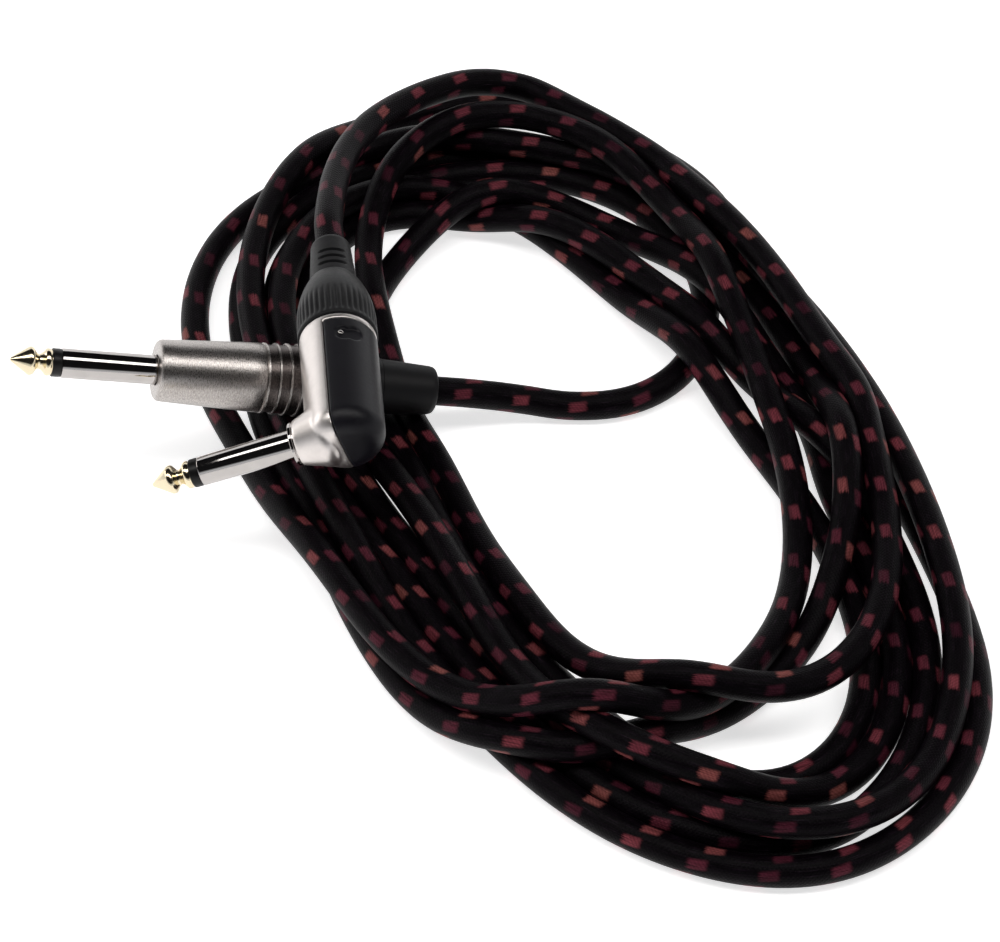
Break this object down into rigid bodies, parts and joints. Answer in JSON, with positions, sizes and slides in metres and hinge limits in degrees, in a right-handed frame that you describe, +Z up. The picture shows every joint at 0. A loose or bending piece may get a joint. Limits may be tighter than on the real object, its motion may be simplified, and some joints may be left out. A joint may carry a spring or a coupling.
{
  "type": "instrument cable",
  "caption": "Loosely coiled instrument cable with a woven jacket, a straight phone plug on one end and a right-angle phone plug on the other.",
  "frame": {"origin": "on the standing surface, under the middle of the whole cable's box", "axes": "+Z up; the coil is longest along Y and the straight plug points along -X"},
  "size_m": [0.2027, 0.24, 0.0418],
  "materials": {
    "tip_gold": "polished pale gold plating",
    "ring_black": "moulded",
    "sleeve_chrome": "mirror plating",
    "barrel_nickel": "satin, finely blasted nickel plating",
    "housing_nickel": "satin polished nickel plating",
    "cover_black": "satin moulded",
    "collar_black": "satin moulded",
    "tail_rubber": "matte",
    "chuck_grey": "moulded",
    "lug_brass": "stamped",
    "washer_fibre": "pressed fibre",
    "insulation_white": "moulded",
    "copper": "bare strands",
    "jacket_weave": "braided textile jacket, black with dull red flecks"
  },
  "bodies": {
    "root": {"straight_tip": "tip_gold", "straight_insulator_ring": "ring_black", "straight_rod_insulator": "insulation_white", "straight_sleeve": "sleeve_chrome", "straight_ground_clamp": "lug_brass", "straight_rear_washer": "washer_fibre", "straight_tip_lug": "lug_brass", "straight_liner": "insulation_white", "straight_barrel": "barrel_nickel", "straight_jacket_end": "jacket_weave", "straight_shield": "copper", "straight_core": "insulation_white", "straight_conductor": "copper", "angle_tip": "tip_gold", "angle_insulator_ring": "ring_black", "angle_rod_insulator": "insulation_white", "angle_sleeve": "sleeve_chrome", "angle_ground_clamp": "lug_brass", "angle_rear_washer": "washer_fibre", "angle_tip_lug": "lug_brass", "angle_housing": "housing_nickel", "angle_jacket_end": "jacket_weave", "angle_shield": "copper", "angle_core": "insulation_white", "angle_conductor": "copper", "cable_lead_straight": "jacket_weave", "cable_lead_angle": "jacket_weave", "cable_coil": "jacket_weave"},
    "straight_chuck_body": {"straight_chuck": "chuck_grey"},
    "straight_boot": {"straight_collar": "collar_black", "straight_tail": "tail_rubber"},
    "angle_chuck_body": {"angle_chuck": "chuck_grey"},
    "angle_boot": {"angle_collar": "collar_black", "angle_tail": "tail_rubber"},
    "angle_cover_body": {"angle_cover": "cover_black"}
  },
  "joints": [
    {"name": "straight_boot_travel", "type": "slide", "parent": "root", "child": "straight_chuck_body", "axis": [0.9513, 0.1677, -0.2588], "range_m": [0, 0.0075]},
    {"name": "straight_boot_turn", "type": "hinge", "parent": "straight_chuck_body", "child": "straight_boot", "pos_m": [-0.03345, 0.00641, 0.01645], "axis": [0.9513, 0.1677, -0.2588], "range_deg": [0, 1795]},
    {"name": "angle_boot_travel", "type": "slide", "parent": "root", "child": "angle_chuck_body", "axis": [-0.0872, 0.9962, 0], "range_m": [0, 0.0075]},
    {"name": "angle_boot_turn", "type": "hinge", "parent": "angle_chuck_body", "child": "angle_boot", "pos_m": [-0.03359, 0.01485, 0.0332], "axis": [-0.0872, 0.9962, 0], "range_deg": [0, 1795]},
    {"name": "angle_cover_lift", "type": "slide", "parent": "root", "child": "angle_cover_body", "axis": [0.9501, 0.0831, 0.3007], "range_m": [0, 0.012]}
  ],
  "couplings": [
    {"joint": "straight_boot_travel", "follows": "straight_boot_turn", "m_per_rad": 0.00023873},
    {"joint": "angle_boot_travel", "follows": "angle_boot_turn", "m_per_rad": 0.00023873}
  ]
}
